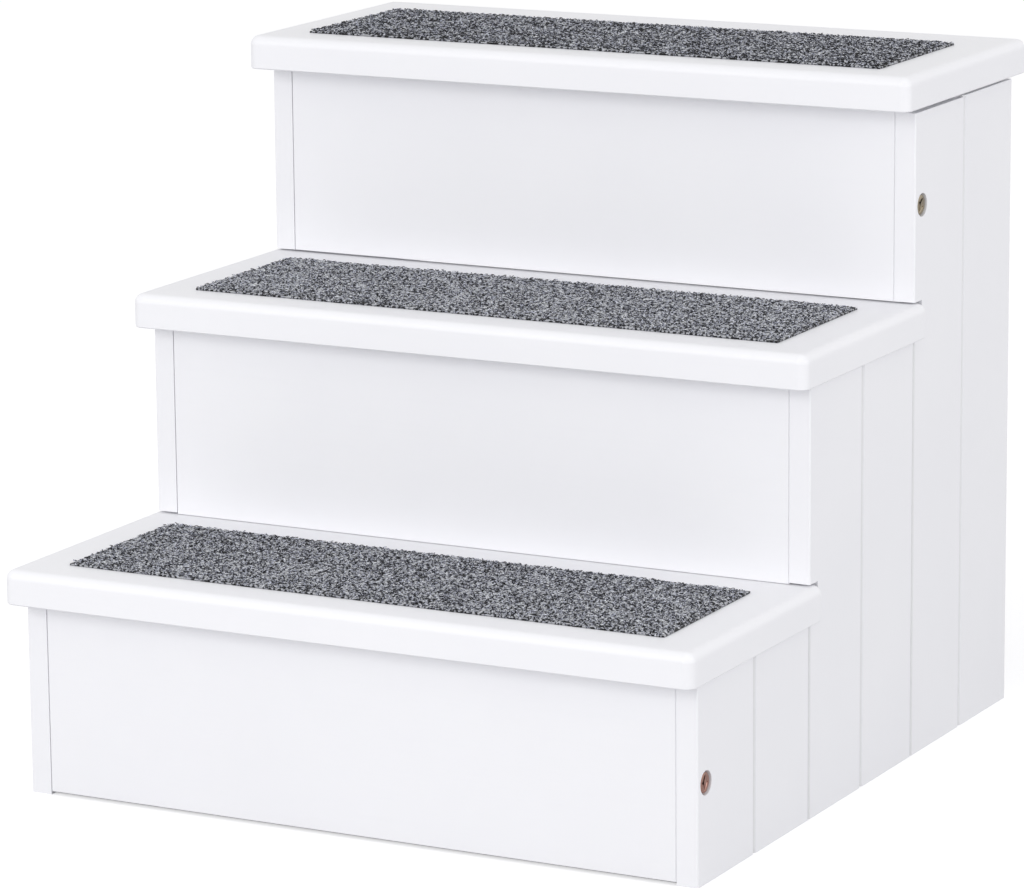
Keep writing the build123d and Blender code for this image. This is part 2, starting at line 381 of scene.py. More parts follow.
def realize(tree, instances):
    return add_node(tree, "GeometryNodeRealizeInstances", {0: instances}).outputs[0]


def join(tree, shapes):
    joined = add_node(tree, "GeometryNodeJoinGeometry")
    for shape in shapes:
        tree.links.new(shape, joined.inputs[0])
    return joined.outputs[0]


def random_number(tree, low, high, seed):
    """A number of its own for each point."""
    inputs = {2: low, 3: high, "Seed": seed}
    return add_node(tree, "FunctionNodeRandomValue", inputs).outputs[1]


def turn_by(tree, rotation, angles):
    """A rotation with a turn by angles after it, in its own frame."""
    turn = add_node(tree, "FunctionNodeEulerToRotation", {0: angles}).outputs[0]
    inputs = {0: rotation, 1: turn}
    return add_node(
        tree, "FunctionNodeRotateRotation", inputs, rotation_space="LOCAL"
    ).outputs[0]


def circle(tree, sides, radius=1.0):
    inputs = {"Resolution": sides, "Radius": radius}
    return add_node(tree, "GeometryNodeCurvePrimitiveCircle", inputs).outputs[0]


def sweep(tree, path, section, scale=1.0):
    """A closed body from a section swept along a path."""
    inputs = {"Curve": path, "Profile Curve": section, "Scale": scale, "Fill Caps": True}
    return add_node(tree, "GeometryNodeCurveToMesh", inputs).outputs[0]


def transform(tree, shape, **inputs):
    return add_node(tree, "GeometryNodeTransform", {"Geometry": shape, **inputs}).outputs[0]


# Carpets


def distance_to_edge(tree, shape):
    """How far inside the four sides of a shape's box each point is."""
    box = add_node(tree, "GeometryNodeBoundBox", {0: shape}).outputs
    spot = add_node(tree, "GeometryNodeInputPosition").outputs[0]

    def compare(operation, first, second):
        inputs = {0: first, 1: second}
        return add_node(tree, "ShaderNodeVectorMath", inputs, operation=operation).outputs[0]

    from_low = compare("SUBTRACT", spot, box["Min"])
    to_high = compare("SUBTRACT", box["Max"], spot)
    nearest = parts_of(tree, compare("MINIMUM", from_low, to_high))
    return reckon(tree, "MINIMUM", nearest[0], nearest[1])


def curled_fibre(tree, length, thickness):
    """One fibre, that keeps how far along itself each point is."""
    curl = add_node(
        tree,
        "GeometryNodeCurveQuadraticBezier",
        {"Resolution": 2, "Start": (0, 0, -0.05), "Middle": (0.1, 0, 0.5), "End": (0.85, 0, 0.16)},
    )
    path = transform(tree, curl.outputs[0], Scale=length)
    along = add_node(tree, "GeometryNodeSplineParameter").outputs["Factor"]
    # The place along the fibre is kept as the factor of its painted shade, darkest at the root.
    path = store(tree, path, "painted_light_factor", along, "POINT")
    section = circle(tree, 3, times(tree, thickness, 0.5))
    return sweep(tree, path, section, rescale(tree, along, 1.0, 0.8))


def carpet_tree():
    """Curled fibres all over a felt body, each with a shade of its own."""
    fibre_sizes = ("Fibre Length", "Fibre Thickness", "Fibres per Square Metre", "Lean", "Painted Light Offset")
    edge_sizes = ("Bare Rim", "Edge Width", "Edge Shade")
    tree, given = new_geometry_tree("carpet_pile", fibre_sizes + edge_sizes)
    felt, seed = given["Geometry"], given["Seed"]
    facing_up = parts_of(tree, add_node(tree, "GeometryNodeInputNormal").outputs[0])[2]
    to_edge = distance_to_edge(tree, felt)
    spots = add_node(
        tree,
        "GeometryNodeDistributePointsOnFaces",
        {
            "Mesh": felt,
            "Selection": reckon(tree, "GREATER_THAN", facing_up, 0.5),
            "Density": given["Fibres per Square Metre"],
            "Seed": seed,
        },
        distribute_method="RANDOM",
    )
    in_rim = reckon(tree, "LESS_THAN", to_edge, given["Bare Rim"])
    rooted = add_node(
        tree,
        "GeometryNodeDeleteGeometry",
        {"Geometry": spots.outputs["Points"], "Selection": in_rim},
        domain="POINT",
    )
    turn = add_node(
        tree,
        "FunctionNodeRandomValue",
        {0: (-1.0, -1.0, 0.0), 1: (1.0, 1.0, math.tau), "Seed": seed},
        data_type="FLOAT_VECTOR",
    )
    lean_x, lean_y, spin = parts_of(tree, turn.outputs[0])
    lean = [times(tree, part, given["Lean"]) for part in (lean_x, lean_y)]
    leaning = turn_by(tree, spots.outputs["Rotation"], vector_of(tree, *lean))
    fibres = add_node(
        tree,
        "GeometryNodeInstanceOnPoints",
        {
            "Points": rooted.outputs[0],
            "Instance": curled_fibre(tree, given["Fibre Length"], given["Fibre Thickness"]),
            "Rotation": turn_by(tree, leaning, vector_of(tree, z=spin)),
            "Scale": random_number(tree, 0.7, 1.25, reckon(tree, "ADD", seed, 1.0)),
        },
    )
    tint = random_number(tree, 0.0, 1.0, reckon(tree, "ADD", seed, 2.0))
    # Painted shade: fibres near the carpet's edges are made darker.
    at_edge = rescale(tree, to_edge, given["Edge Shade"], 0.0, 0.0, given["Edge Width"])
    # Painted light: each carpet's fibres are offset lighter or darker as a whole.
    shade = reckon(tree, "ADD", reckon(tree, "ADD", tint, given["Painted Light Offset"]), at_edge)
    # Felt has a shade of -1, so a fibre's is kept above 0.
    shade = reckon(tree, "MAXIMUM", shade, 0.001)
    pile = realize(tree, store(tree, fibres.outputs[0], "fibre_shade", shade, "INSTANCE"))
    felt = store(tree, felt, "fibre_shade", -1.0, "POINT")
    # Painted shade on the felt: its top keeps 0.6 of the light factor and its sides none, so they
    # go dark.
    lit = reckon(tree, "MULTIPLY", facing_up, 0.6, clamp=True)
    felt = store(tree, felt, "painted_light_factor", lit, "POINT")
    finish_tree(tree, join(tree, [felt, pile]), given["Material"])
    return tree


def felt_body(name, low, high, cell, crown):
    """A closed slab of felt with eased top edges, whose top rises slightly inwards."""
    length, depth, _ = high - low
    columns, rows = round(length / cell), round(depth / cell)
    shape = bmesh.new()
    bmesh.ops.create_grid(shape, x_segments=columns, y_segments=rows, size=0.5)
    for vertex in shape.verts:
        across = 1 - abs(2 * vertex.co.x) ** 40
        deep = 1 - abs(2 * vertex.co.y) ** 16
        vertex.co = (
            low.x + (vertex.co.x + 0.5) * length,
            low.y + (vertex.co.y + 0.5) * depth,
            high.z - crown * (1 - across * deep),
        )
    rim = [edge for edge in shape.edges if edge.is_boundary]
    skirt = bmesh.ops.extrude_edge_only(shape, edges=rim)["geom"]
    for item in skirt:
        if isinstance(item, bmesh.types.BMVert):
            item.co.z = low.z
    bottom = [edge for edge in shape.edges if edge.is_boundary]
    bmesh.ops.contextual_create(shape, geom=bottom)
    bmesh.ops.recalc_face_normals(shape, faces=shape.faces)
    mesh = bpy.data.meshes.new(name)
    shape.to_mesh(mesh)
    shape.free()
    return mesh


# Fasteners


def turned_body(tree, stations, section):
    """A closed body along Z, from (height, radius) stations and a section swept along them."""
    line = add_node(tree, "GeometryNodeMeshLine", {"Count": len(stations)})
    path = add_node(tree, "GeometryNodeMeshToCurve", {0: line.outputs[0]})
    index = add_node(tree, "GeometryNodeInputIndex").outputs[0]
    picked = []
    for values in zip(*stations):
        pick = add_node(tree, "GeometryNodeIndexSwitch", data_type="FLOAT")
        while len(pick.index_switch_items) < len(values):
            pick.index_switch_items.new()
        plug(tree, pick, {"Index": index})
        plug(tree, pick, {str(place): value for place, value in enumerate(values)})
        picked.append(pick.outputs[0])
    height, radius = picked
    inputs = {"Geometry": path.outputs[0], "Position": vector_of(tree, z=height)}
    moved = add_node(tree, "GeometryNodeSetPosition", inputs)
    return sweep(tree, moved.outputs[0], section, radius)


def thread(tree, diameter, pitch, start, length):
    """The ridge of a screw thread, half sunk in the core that it winds round."""
    ridge = times(tree, pitch, 0.4)
    radius = minus(tree, times(tree, diameter, 0.5), ridge)
    helix = add_node(
        tree,
        "GeometryNodeCurveSpiral",
        {
            "Resolution": 20,
            "Rotations": reckon(tree, "DIVIDE", length, pitch),
            "Start Radius": radius,
            "End Radius": radius,
            "Height": length,
        },
    )
    upright = add_node(
        tree, "GeometryNodeSetCurveNormal", {"Curve": helix.outputs[0]}, mode="Z_UP"
    )
    swept = sweep(tree, upright.outputs[0], circle(tree, 4, ridge))
    return transform(tree, swept, Translation=vector_of(tree, z=start))


def cut_from(tree, body, tools):
    """The body less the tools."""
    boolean = add_node(
        tree, "GeometryNodeMeshBoolean", {"Mesh 1": body}, operation="DIFFERENCE"
    )
    for tool in tools:
        tree.links.new(tool, boolean.inputs["Mesh 2"])
    return boolean.outputs[0]


def cross_recess(tree, body, width, depth):
    """Cuts a tapering cross into the end of a body at the origin."""
    arms = []
    for turn in (0.0, math.pi / 2):
        sizes = {
            "Vertices": 4,
            "Radius Bottom": times(tree, width, 0.62),
            "Radius Top": times(tree, width, 0.2),
            "Depth": times(tree, depth, 1.1),
        }
        arm = add_node(tree, "GeometryNodeMeshCone", sizes).outputs[0]
        above = vector_of(tree, z=times(tree, depth, -0.1))
        arms.append(
            transform(tree, arm, Translation=above, Rotation=(0, 0, turn), Scale=(1, 0.4, 1))
        )
    return cut_from(tree, body, arms)


def place_on_seats(tree, given, shape, crease=0.6):
    """Puts a shape on every seat, pointing inward, with creases kept, and coats it."""
    angle = add_node(tree, "GeometryNodeInputMeshEdgeAngle").outputs[0]
    inputs = {0: angle, 1: crease}
    is_flat = add_node(tree, "FunctionNodeCompare", inputs, operation="LESS_THAN").outputs[0]
    rounded = add_node(tree, "GeometryNodeSetShadeSmooth", {"Geometry": shape}, domain="FACE")
    creased = add_node(
        tree,
        "GeometryNodeSetShadeSmooth",
        {"Geometry": rounded.outputs[0], "Shade Smooth": is_flat},
        domain="EDGE",
    )
    inward = add_node(
        tree, "GeometryNodeInputNamedAttribute", {"Name": "inward"}, data_type="FLOAT_VECTOR"
    )
    along = add_node(
        tree, "FunctionNodeAlignRotationToVector", {"Vector": inward.outputs[0]}, axis="Z"
    )
    spin = vector_of(tree, z=random_number(tree, 0.0, given["Turn"], given["Seed"]))
    placed = add_node(
        tree,
        "GeometryNodeInstanceOnPoints",
        {
            "Points": given["Geometry"],
            "Instance": creased.outputs[0],
            "Rotation": turn_by(tree, along.outputs[0], spin),
        },
    )
    tone = random_number(tree, 0.0, 1.0, given["Seed"])
    toned = store(tree, placed.outputs[0], "part_tone", tone, "INSTANCE")
    finish_tree(tree, realize(tree, toned), given["Material"])
    return tree


def bolt_tree():
    """A flat round head with an eased rim and a cross recess, a shank and a thread."""
    sizes = ("Length", "Head Diameter", "Head Height", "Shank Diameter", "Thread Length", "Pitch")
    tree, given = new_geometry_tree(
        "machine_bolt", (*sizes, "Recess Width", "Recess Depth", "Turn")
    )
    length, pitch, rim = given["Length"], given["Pitch"], given["Head Height"]
    head = times(tree, given["Head Diameter"], 0.5)
    shank = times(tree, given["Shank Diameter"], 0.5)
    core = minus(tree, shank, times(tree, pitch, 0.5))
    thread_start = minus(tree, length, given["Thread Length"])
    stations = [
        (0.0, times(tree, head, 0.88)),
        (times(tree, rim, 0.05), times(tree, head, 0.95)),
        (times(tree, rim, 0.2), head),
        (times(tree, rim, 0.99), head),
        (rim, shank),
        (minus(tree, thread_start, pitch), shank),
        (thread_start, core),
        (minus(tree, length, pitch), core),
        (length, times(tree, core, 0.7)),
    ]
    body = turned_body(tree, stations, circle(tree, 32))
    body = cross_recess(tree, body, given["Recess Width"], given["Recess Depth"])
    wound = minus(tree, given["Thread Length"], times(tree, pitch, 1.5))
    ridge = thread(tree, given["Shank Diameter"], pitch, thread_start, wound)
    return place_on_seats(tree, given, join(tree, [body, ridge]))


def screw_tree():
    """A countersunk wood screw with a cross recess and a coarse thread up to its point."""
    sizes = ("Length", "Head Diameter", "Shank Diameter", "Thread Length", "Pitch", "Tip Length")
    tree, given = new_geometry_tree("wood_screw", (*sizes, "Recess Width", "Recess Depth", "Turn"))
    length, tip = given["Length"], given["Tip Length"]
    head = times(tree, given["Head Diameter"], 0.5)
    core = times(tree, times(tree, given["Shank Diameter"], 0.5), 0.7)
    land = times(tree, head, 0.06)
    cone_end = reckon(tree, "ADD", land, minus(tree, head, core))
    tip_start = minus(tree, length, tip)
    stations = [
        (0.0, times(tree, head, 0.97)),
        (land, head),
        (cone_end, core),
        (tip_start, core),
        (length, times(tree, core, 0.12)),
    ]
    body = turned_body(tree, stations, circle(tree, 20))
    body = cross_recess(tree, body, given["Recess Width"], given["Recess Depth"])
    thread_start = minus(tree, tip_start, given["Thread Length"])
    wound = reckon(tree, "ADD", given["Thread Length"], times(tree, tip, 0.35))
    ridge = thread(tree, given["Shank Diameter"], given["Pitch"], thread_start, wound)
    return place_on_seats(tree, given, join(tree, [body, ridge]))


def eased_rod(tree, given, section=None):
    """A rod with chamfered ends, which is round unless it gets a section."""
    radius = times(tree, given["Diameter"], 0.5)
    eased = minus(tree, radius, given["Ease"])
    far = minus(tree, given["Length"], given["Ease"])
    stations = [(0.0, eased), (given["Ease"], radius), (far, radius), (given["Length"], eased)]
    return turned_body(tree, stations, section or circle(tree, 28))


def nut_tree():
    """A barrel nut with eased ends, its threaded cross hole and a slot to turn it by."""
    bore_sizes = ("Bore Place", "Bore Diameter")
    slot_sizes = ("Slot Width", "Slot Depth")
    tree, given = new_geometry_tree(
        "barrel_nut", ("Length", "Diameter", *bore_sizes, *slot_sizes, "Ease", "Turn")
    )
    through = times(tree, given["Diameter"], 1.2)
    radius = times(tree, given["Bore Diameter"], 0.5)
    sizes = {"Vertices": 24, "Radius": radius, "Depth": through}
    bore = transform(
        tree,
        add_node(tree, "GeometryNodeMeshCylinder", sizes).outputs[0],
        Translation=vector_of(tree, z=given["Bore Place"]),
        Rotation=(0, math.pi / 2, 0),
    )
    slot_size = vector_of(tree, through, given["Slot Width"], times(tree, given["Slot Depth"], 2.0))
    slot = add_node(tree, "GeometryNodeMeshCube", {"Size": slot_size}).outputs[0]
    return place_on_seats(tree, given, cut_from(tree, eased_rod(tree, given), [bore, slot]))


def dowel_tree():
    """A dowel with eased ends and flutes that let the glue out."""
    sizes = ("Length", "Diameter", "Flute Depth", "Ease", "Turn")
    tree, given = new_geometry_tree("fluted_dowel", sizes)
    radius = times(tree, given["Diameter"], 0.5)
    bottom = reckon(tree, "DIVIDE", minus(tree, radius, given["Flute Depth"]), radius)
    star = {"Points": 20, "Outer Radius": 1.0, "Inner Radius": bottom}
    fluted = add_node(tree, "GeometryNodeCurveStar", star).outputs[0]
    return place_on_seats(tree, given, eased_rod(tree, given, fluted), crease=0.9)


def solid_boxes(node_name):
    """The box of each separate solid in one CAD node, in a fixed order."""
    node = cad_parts[node_name]
    shape = bmesh.new()
    shape.from_mesh(node.data)
    shape.transform(node.matrix_world)
    bmesh.ops.remove_doubles(shape, verts=shape.verts, dist=0.001 * MM)
    waiting = set(shape.verts)
    boxes = []
    while waiting:
        found = [waiting.pop()]
        for vertex in found:
            near = {edge.other_vert(vertex) for edge in vertex.link_edges} & waiting
            waiting -= near
            found.extend(near)
        low = Vector(min(vertex.co[axis] for vertex in found) for axis in range(3))
        high = Vector(max(vertex.co[axis] for vertex in found) for axis in range(3))
        boxes.append((low, high))
    shape.free()
    return sorted(boxes, key=lambda box: [round(value / MM) for value in (*box[0], *box[1])])


def seats(name, node_name, find_inward, rise):
    """A point at the outer end of each solid, or above it, its way inward, and the length."""
    places, ways = [], []
    for low, high in solid_boxes(node_name):
        middle = (low + high) / 2
        way = Vector(find_inward(middle))
        length = abs((high - low).dot(way)) + rise
        places.append(middle - way * (length + rise) / 2)
        ways.append(way)
    mesh = bpy.data.meshes.new(name)
    mesh.from_pydata(places, [], [])
    inward = mesh.attributes.new("inward", "FLOAT_VECTOR", "POINT")
    inward.data.foreach_set("vector", [part for way in ways for part in way])
    return mesh, length


def to_the_middle(middle):
    return (-math.copysign(1, middle.x), 0, 0)


def to_the_front(middle):
    return (0, -1, 0)


def upward(middle):
    return (0, 0, 1)


def make_fasteners(name, node_name, tree, find_inward, values, rise=0.0):
    """Puts detailed fasteners where a CAD node has its plain ones."""
    points, length = seats(name + "_seats", node_name, find_inward, rise)
    piece = bake_tree(name, points, tree, {"Length": length, **values})
    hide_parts(node_name)
    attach(piece, "root")


# Stage


def aim(place, target, roll=0.0):
    """Matrix of a camera or lamp at a place that looks at a target."""
    look = (Vector(target) - Vector(place)).to_track_quat("-Z", "Y").to_matrix().to_4x4()
    return Matrix.Translation(place) @ look @ Matrix.Rotation(roll, 4, "Z")


def add_object(name, data):
    """Puts data into the scene as an object."""
    holder = bpy.data.objects.new(name, data)
    bpy.context.scene.collection.objects.link(holder)
    return holder


def add_softbox(name, place, size, power):
    """A large rectangular lamp that looks at the middle of the stairs."""
    lamp = bpy.data.lights.new(name, "AREA")
    lamp.shape = "RECTANGLE"
    lamp.size, lamp.size_y = size
    lamp.energy = power
    add_object(name, lamp).matrix_world = aim(place, (0.0, 0.0, 0.18))


def seamless_paper(stage):
    """Matt, pale paper.

    The eye sees it melt into the white backdrop, because the camera alone sees it glow,
    but only outside the stairs' footprint.
    """
    material, tree, place = new_material("seamless_paper")
    matt = add_node(
        tree,
        "ShaderNodeBsdfPrincipled",
        {
            "Base Color": linear(stage.floor_colour),
            "Roughness": 0.9,
            "Specular IOR Level": 0.1,
        },
    )
    beside = [
        reckon(tree, "GREATER_THAN", reckon(tree, "ABSOLUTE", part), half)
        for part, half in zip(parts_of(tree, place), stage.footprint)
    ]
    by_camera = add_node(tree, "ShaderNodeLightPath").outputs["Is Camera Ray"]
    seen = times(tree, reckon(tree, "MAXIMUM", *beside), by_camera)
    strength = times(tree, seen, stage.floor_glow)
    glow = add_node(tree, "ShaderNodeEmission", {"Strength": strength})
    paper = add_node(tree, "ShaderNodeAddShader", {0: matt.outputs[0], 1: glow.outputs[0]})
    add_node(tree, "ShaderNodeOutputMaterial", {"Surface": paper.outputs[0]})
    return material


def add_floor(stage):
    shape = bmesh.new()
    bmesh.ops.create_grid(shape, x_segments=1, y_segments=1, size=stage.floor_size / 2)
    mesh = bpy.data.meshes.new("studio_floor")
    shape.to_mesh(mesh)
    shape.free()
    mesh.materials.append(seamless_paper(stage))
    add_object("studio_floor", mesh)


def add_world(stage):
    """A white backdrop for what looks at it, and a softer light on everything."""
    world = bpy.data.worlds.new("studio_world")
    bpy.context.scene.world = world
    world.use_nodes = True
    tree = world.node_tree
    tree.nodes.clear()
    ray = add_node(tree, "ShaderNodeLightPath").outputs
    looks = reckon(tree, "MAXIMUM", ray["Is Camera Ray"], ray["Is Glossy Ray"])
    looks = reckon(tree, "MAXIMUM", looks, ray["Is Transmission Ray"])
    light, backdrop = (
        add_node(tree, "ShaderNodeBackground", {"Color": (1, 1, 1, 1), "Strength": strength})
        for strength in (stage.world_light, stage.backdrop)
    )
    inputs = {0: looks, 1: light.outputs[0], 2: backdrop.outputs[0]}
    both = add_node(tree, "ShaderNodeMixShader", inputs)
    add_node(tree, "ShaderNodeOutputWorld", {"Surface": both.outputs[0]})


def add_camera(stage):
    lens = bpy.data.cameras.new("photo_camera")
    lens.sensor_width = 36
    lens.lens = stage.lens
    lens.clip_end = 100
    camera = add_object("photo_camera", lens)
    camera.matrix_world = aim(stage.eye, stage.target, stage.roll)
    bpy.context.scene.camera = camera


# Settings


def length_setting(name, description, millimetres):
    """A length, kept in metres."""
    return FloatProperty(
        name=name, description=description, default=millimetres * MM, unit="LENGTH", precision=5
    )


def colour_setting(name, description, colours):
    """One sRGB hex colour, or several with spaces between them."""
    return StringProperty(name=name, description=description, default=colours)


def factor_setting(name, description, default):
    """A share, mostly between 0 and 1."""
    return FloatProperty(name=name, description=description, default=default, subtype="FACTOR")


class PaintSettings(bpy.types.PropertyGroup):
    colour: colour_setting("Paint", "Colour of the paint", "#EFEFF2")
    shade_colour: colour_setting("Grain tone", "Its darker tone along the grain", "#EAEAEE")
    # Colour of the painted shade down in the V joints.
    joint_colour: colour_setting("Painted joint shade", "Its greyer tone in the V joints", "#E3E3E5")
    roughness: factor_setting("Roughness", "Satin gloss of the paint", 0.42)
    # Width of the painted shade line in a joint.
    joint_width: length_setting("Joint width", "Width of the greyer line in a joint", 3.4)
    grain_length: length_setting("Grain length", "Length of the grain's lines", 60)
    grain_width: length_setting("Grain width", "Width of the grain's lines", 2.5)
    grain_depth: length_setting("Grain depth", "Depth of the grain's lines", 0.12)
    ripple_size: length_setting("Ripple", "Size of the spray's ripple", 2.2)
    ripple_depth: length_setting("Ripple depth", "Depth of the spray's ripple", 0.05)
    cloud_size: length_setting("Cloud", "Size of slow changes of tone", 90)


class CarpetSettings(bpy.types.PropertyGroup):
    # The darkest fibres' colour, and also the colour of the painted shade at the roots and on the
    # felt's sides.
    dark_colour: colour_setting("Darkest fibre", "Charcoal fibres", "#101013")
    deep_colour: colour_setting("Deep fibre", "Dark grey fibres", "#3A3C44")
    middle_colour: colour_setting("Middle fibre", "Mid grey fibres", "#E2E6FA")
    light_colour: colour_setting("Lightest fibre", "Pale fibres", "#F8FAFF")
    fibre_length: length_setting("Fibre length", "Length of a curled fibre", 2.2)
    fibre_thickness: length_setting("Fibre thickness", "Thickness of a drawn fibre", 0.55)
    fibre_count: IntProperty(name="Fibres", description="Fibres on one carpet", default=26000)
    lean: FloatProperty(
        name="Lean", description="Most that a fibre leans", default=0.35, subtype="ANGLE"
    )
    # Painted shade: the share of its colour that a fibre keeps at its root.
    root_light: factor_setting("Root light", "Share of its colour that a fibre's root has", 0.15)
    speckle_size: length_setting("Speckle", "Size of the single tufts", 1.6)
    tuft_contrast: factor_setting("Tuft contrast", "Shift of tone from tuft to tuft", 0.42)
    clump_size: length_setting("Clumps", "Size of the mottle", 9)
    clump_contrast: factor_setting("Clump contrast", "Shift of tone from clump to clump", 0.1)
    # Painted light: how much lighter or darker each carpet is made as a whole, as light falls on
    # it.
    tones: FloatVectorProperty(
        name="Tones",
        description="How much lighter each carpet is than the mean",
        default=(0.02, 0.07, -0.09),
    )
    felt_inset: length_setting("Felt inset", "Felt inside the carpet's edge", 0.2)
    felt_cell: length_setting("Felt cell", "Size of the felt's faces", 3)
    felt_crown: length_setting("Felt crown", "How far the felt's top falls to its edge", 0.4)
    pile_height: length_setting("Pile", "Height of the pile above the felt", 0.6)
    bare_rim: length_setting("Bare rim", "Felt left bare along the edge", 0.9)
    # Painted shade along each carpet's edges: its width, and how much lighter it makes the fibres
    # there (below 0 makes them darker).
    edge_width: length_setting("Edge", "Width of the darker cut edge", 2.5)
    edge_shade: FloatProperty(
        name="Edge shade", description="How much lighter the cut edge is", default=-0.45
    )
    seed: IntProperty(name="Seed", description="Fixes the scatter of the fibres", default=7)


class FastenerSettings(bpy.types.PropertyGroup):
    bolt_colours: colour_setting("Bolt tones", "Yellow passivated zinc", "#B5887C #B39A86 #ACA08A")
    steel_colours: colour_setting("Steel tones", "Bright zinc", "#B9BDC1 #C9CDD1 #DADDE0")
    beech_colours: colour_setting("Beech tones", "Flecks and wood", "#9C6B43 #D8B088")
    bolt_head: length_setting("Bolt head", "Diameter of the head", 11)
    bolt_head_height: length_setting("Bolt head height", "Height of the head", 3)
    bolt_head_rise: length_setting("Bolt head rise", "How far out its face is moved", 0.8)
    bolt_shank: length_setting("Bolt shank", "Diameter of the shank", 5.8)
    bolt_thread: length_setting("Bolt thread", "Length of the thread", 28)
    bolt_pitch: length_setting("Bolt pitch", "Pitch of the thread", 1)
    bolt_recess: length_setting("Bolt recess", "Width of the cross", 6.4)
    bolt_recess_depth: length_setting("Bolt recess depth", "Depth of the cross", 2.4)
    bolt_turn: FloatProperty(
        name="Bolt turn", description="Most that a bolt is turned", default=0.6, subtype="ANGLE"
    )
    nut_diameter: length_setting("Nut", "Diameter of the barrel nut", 9.7)
    nut_bore: length_setting("Nut bore", "Diameter of its cross hole", 6.1)
    nut_slot: length_setting("Nut slot", "Width and depth of its slot", 1.4)
    screw_head: length_setting("Screw head", "Diameter of a wood screw's head", 7.4)
    screw_shank: length_setting("Screw thread", "Diameter of its thread", 3.7)
    screw_thread: length_setting("Screw thread length", "Length of thread above the tip", 16)
    screw_tip: length_setting("Screw tip", "Length of the tip", 5)
    screw_pitch: length_setting("Screw pitch", "Pitch of its thread", 1.8)
    screw_recess: length_setting("Screw recess", "Width of the cross", 4.2)
    dowel_diameter: length_setting("Dowel", "Diameter over the flutes", 7.7)
    flute_depth: length_setting("Flutes", "Depth of the flutes", 0.3)
    ease: length_setting("Eased ends", "Chamfer of nuts and dowels", 0.6)
    seed: IntProperty(name="Seed", description="Fixes the turn and the tone of each", default=52)


class StageSettings(bpy.types.PropertyGroup):
    eye: FloatVectorProperty(
        name="Camera",
        description="Place of the camera",
        default=(1.2663, -2.4229, 0.7750),
        subtype="TRANSLATION",
    )
    target: FloatVectorProperty(
        name="Target",
        description="Point that the camera looks at",
        default=(-0.0085, -0.0040, 0.1718),
        subtype="TRANSLATION",
    )
    roll: FloatProperty(
        name="Roll", description="Tilt of the picture", default=-0.0093, subtype="ANGLE"
    )
    lens: FloatProperty(
        name="Lens", description="Focal length in millimetres", default=178.37, unit="CAMERA"
    )
    front_power: FloatProperty(
        name="Front softbox", description="Power of the front lamp", default=32, unit="POWER"
    )
    right_power: FloatProperty(
        name="Right softbox", description="Power of the lamp at the right", default=21, unit="POWER"
    )
    world_light: FloatProperty(
        name="World light", description="Light of the studio's walls", default=0.78
    )
    backdrop: FloatProperty(name="Backdrop", description="White that the camera sees", default=1.0)
    floor_size: FloatProperty(
        name="Floor", description="Width of the floor", default=40, unit="LENGTH"
    )
    floor_colour: colour_setting("Floor colour", "Pale paper", "#CCCCCE")
    floor_glow: FloatProperty(
        name="Floor glow", description="Light of the floor that the camera sees", default=0.52
    )
    footprint: FloatVectorProperty(
        name="Footprint",
        description="Half width and half depth of the floor that the stairs hide",
        size=2,
        default=(0.194, 0.197),
        unit="LENGTH",
    )


# Operators


def nodes_named(*words):
    """The CAD nodes with any of the words in their names."""
    return [piece for name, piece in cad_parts.items() if any(word in name for word in words)]


class STAIRS_OT_paint_side_panels(bpy.types.Operator):
    """Paint the planks of both side panels and the posts behind them"""

    bl_idname = "stairs.paint_side_panels"
    bl_label = "Paint side panels"

    def execute(self, context):
        material = white_paint("satin_paint_with_joints", "Z", has_joints=True)
        dress(nodes_named("side_plank"), material)
        material = white_paint("satin_paint_upright_grain", "Z")
        dress(nodes_named("rear_post"), material)
        return {"FINISHED"}


class STAIRS_OT_paint_battens(bpy.types.Operator):
    """Paint the battens inside the side panels"""

    bl_idname = "stairs.paint_battens"
    bl_label = "Paint battens"

    def execute(self, context):
        material = white_paint("satin_paint_front_to_back_grain", "Y")
        dress(nodes_named("batten"), material)
        return {"FINISHED"}


class STAIRS_OT_paint_boards(bpy.types.Operator):
    """Paint the treads, the risers and the rails at the back"""

    bl_idname = "stairs.paint_boards"
    bl_label = "Paint treads, risers and rails"

    def execute(self, context):
        material = white_paint("satin_paint_sideways_grain", "X")
        boards = [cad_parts[f"{kind}_{step}"] for kind in ("riser", "tread") for step in STEPS]
        boards += [rail for rail in nodes_named("back_rail") if "screws" not in rail.name]
        dress(boards, material)
        return {"FINISHED"}


class STAIRS_OT_make_carpets(bpy.types.Operator):
    """Make the three carpets from felt and curled fibres"""

    bl_idname = "stairs.make_carpets"
    bl_label = "Make carpets"

    def execute(self, context):
        carpet = context.scene.stairs_carpet
        material = heather_carpet()
        tree = carpet_tree()
        inset = Vector((carpet.felt_inset, carpet.felt_inset, 0))
        for step in STEPS:
            name = f"carpet_{step}"
            low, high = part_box(f"carpet_pad_{step}")
            top = high - inset - Vector((0, 0, carpet.pile_height))
            body = felt_body(name, low + inset, top, carpet.felt_cell, carpet.felt_crown)
            area = sum(face.area for face in body.polygons if face.normal.z > 0.5)
            values = {
                "Fibre Length": carpet.fibre_length,
                "Fibre Thickness": carpet.fibre_thickness,
                "Fibres per Square Metre": carpet.fibre_count / area,
                "Lean": carpet.lean,
                "Painted Light Offset": carpet.tones[step - 1],
                "Bare Rim": carpet.bare_rim,
                "Edge Width": carpet.edge_width,
                "Edge Shade": carpet.edge_shade,
                "Seed": carpet.seed + step,
                "Material": material,
            }
            piece = bake_tree(name, body, tree, values)
            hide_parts(f"carpet_pad_{step}")
            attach(piece, "root")
        return {"FINISHED"}


